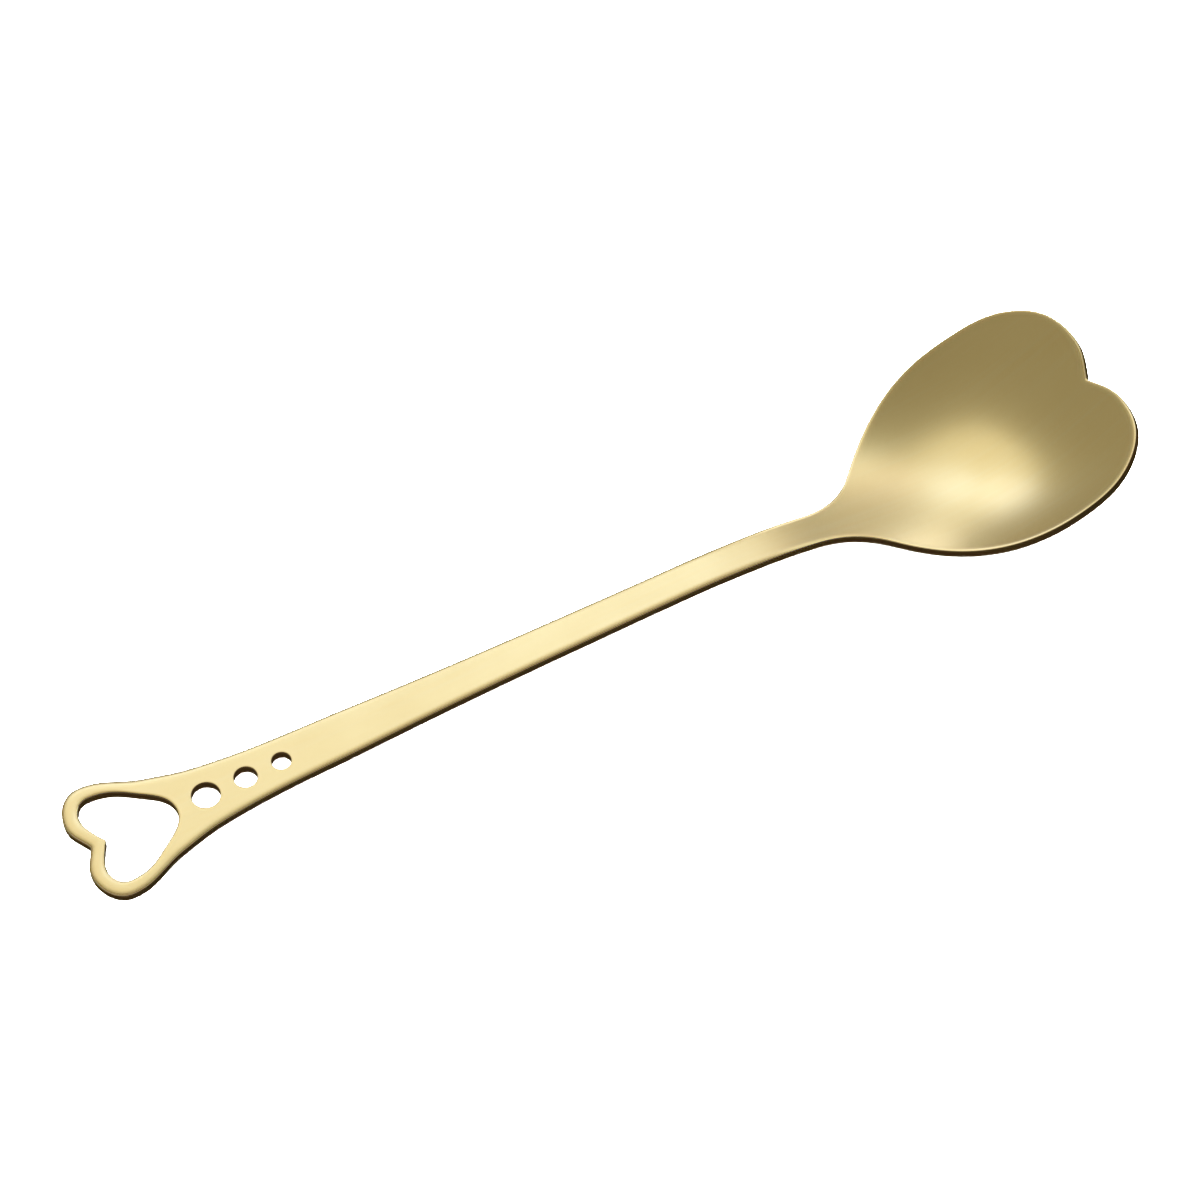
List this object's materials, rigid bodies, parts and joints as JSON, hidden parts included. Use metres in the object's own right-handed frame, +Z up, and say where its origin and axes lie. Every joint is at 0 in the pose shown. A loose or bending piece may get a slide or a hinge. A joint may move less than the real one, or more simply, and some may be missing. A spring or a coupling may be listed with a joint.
{
  "type": "dessert spoon",
  "caption": "Flat stamped dessert spoon with a heart-shaped bowl, a slim handle with a row of round holes, and an open heart loop at its end.",
  "frame": {"origin": "middle of the spoon's box at table height: the spoon lies bowl up on the belly of its bowl and the end of its handle", "axes": "+X from the handle's heart loop to the tip of the bowl, +Y across the spoon to its left seen from the handle, +Z up out of the bowl"},
  "size_m": [0.1558, 0.0358, 0.013],
  "materials": {
    "satin_gold": "stainless steel with a thin pale gold coating, satin to soft gloss, fine polishing lines along the spoon"
  },
  "bodies": {
    "root": {"spoon": "satin_gold"}
  },
  "joints": []
}
